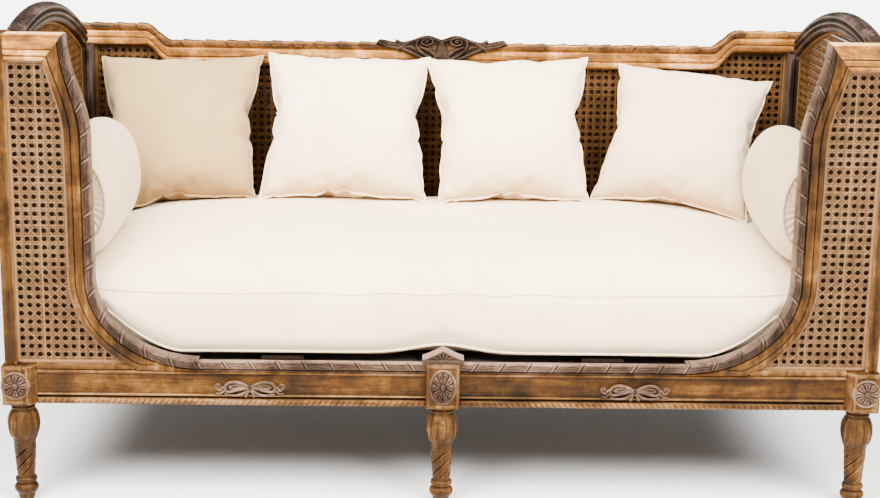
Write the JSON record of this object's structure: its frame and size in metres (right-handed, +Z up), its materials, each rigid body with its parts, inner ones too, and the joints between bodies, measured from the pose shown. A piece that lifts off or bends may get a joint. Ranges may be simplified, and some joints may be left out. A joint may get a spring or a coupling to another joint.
{
  "type": "sofa",
  "caption": "Carved and caned wooden settee with high front wings, arched arms, turned legs, a crowned loose seat cushion, bolsters and scatter pillows.",
  "frame": {"origin": "middle of the footprint, on the floor", "axes": "+X along the seat to the picture's right, +Y from the front to the back, +Z up"},
  "size_m": [1.872, 0.8432, 1.0379],
  "materials": {
    "carved_wood": "worn wax over golden-brown stain",
    "dark_wood": "dark worn stain",
    "raw_wood": "bare softwood",
    "cane": "woven tan cane",
    "linen": "cream woven cotton and linen"
  },
  "bodies": {
    "frame": {"front_rail_left": "carved_wood", "front_rail_right": "carved_wood", "rear_rail_left": "dark_wood", "rear_rail_right": "dark_wood", "side_rail_left": "dark_wood", "side_rail_right": "dark_wood", "seat_moulding_left": "carved_wood", "seat_moulding_right": "carved_wood", "front_leg_left": "carved_wood", "front_leg_centre": "carved_wood", "front_leg_right": "carved_wood", "rear_leg_left": "dark_wood", "rear_leg_centre": "dark_wood", "rear_leg_right": "dark_wood", "front_post_left": "carved_wood", "front_post_right": "carved_wood", "wing_stile_left": "carved_wood", "wing_stile_right": "carved_wood", "wing_rail_left": "carved_wood", "wing_rail_right": "carved_wood", "back_post_left": "dark_wood", "back_post_right": "dark_wood", "crest_rail": "carved_wood", "crest_carving": "carved_wood", "back_sill": "dark_wood", "arm_rail_left": "dark_wood", "arm_rail_right": "dark_wood", "arm_sill_left": "dark_wood", "arm_sill_right": "dark_wood", "rosette_left": "carved_wood", "rosette_centre": "carved_wood", "rosette_right": "carved_wood", "bow_left": "carved_wood", "bow_right": "carved_wood", "centre_cap": "carved_wood", "front_ledger": "raw_wood", "rear_ledger": "raw_wood", "seat_slat_1": "raw_wood", "seat_slat_2": "raw_wood", "seat_slat_3": "raw_wood", "seat_slat_4": "raw_wood", "seat_slat_5": "raw_wood", "front_brace_left": "raw_wood", "front_brace_right": "raw_wood", "rear_brace_left": "raw_wood", "rear_brace_right": "raw_wood", "wing_cane_left": "cane", "wing_cane_right": "cane", "arm_cane_left": "cane", "arm_cane_right": "cane", "back_cane": "cane"},
    "seat_cushion": {"seat_cushion": "linen"},
    "bolster_left": {"bolster_left": "linen"},
    "bolster_right": {"bolster_right": "linen"},
    "pillow_far_left": {"pillow_far_left": "linen"},
    "pillow_mid_left": {"pillow_mid_left": "linen"},
    "pillow_mid_right": {"pillow_mid_right": "linen"},
    "pillow_far_right": {"pillow_far_right": "linen"}
  },
  "joints": [
    {"name": "seat_cushion_lift", "type": "slide", "parent": "frame", "child": "seat_cushion", "axis": [0, 0, 1], "range_m": [0, 0.75]},
    {"name": "bolster_left_lift", "type": "slide", "parent": "seat_cushion", "child": "bolster_left", "axis": [0, 0, 1], "range_m": [0, 0.6]},
    {"name": "bolster_right_lift", "type": "slide", "parent": "seat_cushion", "child": "bolster_right", "axis": [0, 0, 1], "range_m": [0, 0.6]},
    {"name": "pillow_far_left_lift", "type": "slide", "parent": "seat_cushion", "child": "pillow_far_left", "axis": [0, 0, 1], "range_m": [0, 0.6]},
    {"name": "pillow_mid_left_lift", "type": "slide", "parent": "seat_cushion", "child": "pillow_mid_left", "axis": [0, 0, 1], "range_m": [0, 0.6]},
    {"name": "pillow_mid_right_lift", "type": "slide", "parent": "seat_cushion", "child": "pillow_mid_right", "axis": [0, 0, 1], "range_m": [0, 0.6]},
    {"name": "pillow_far_right_lift", "type": "slide", "parent": "seat_cushion", "child": "pillow_far_right", "axis": [0, 0, 1], "range_m": [0, 0.6]}
  ]
}
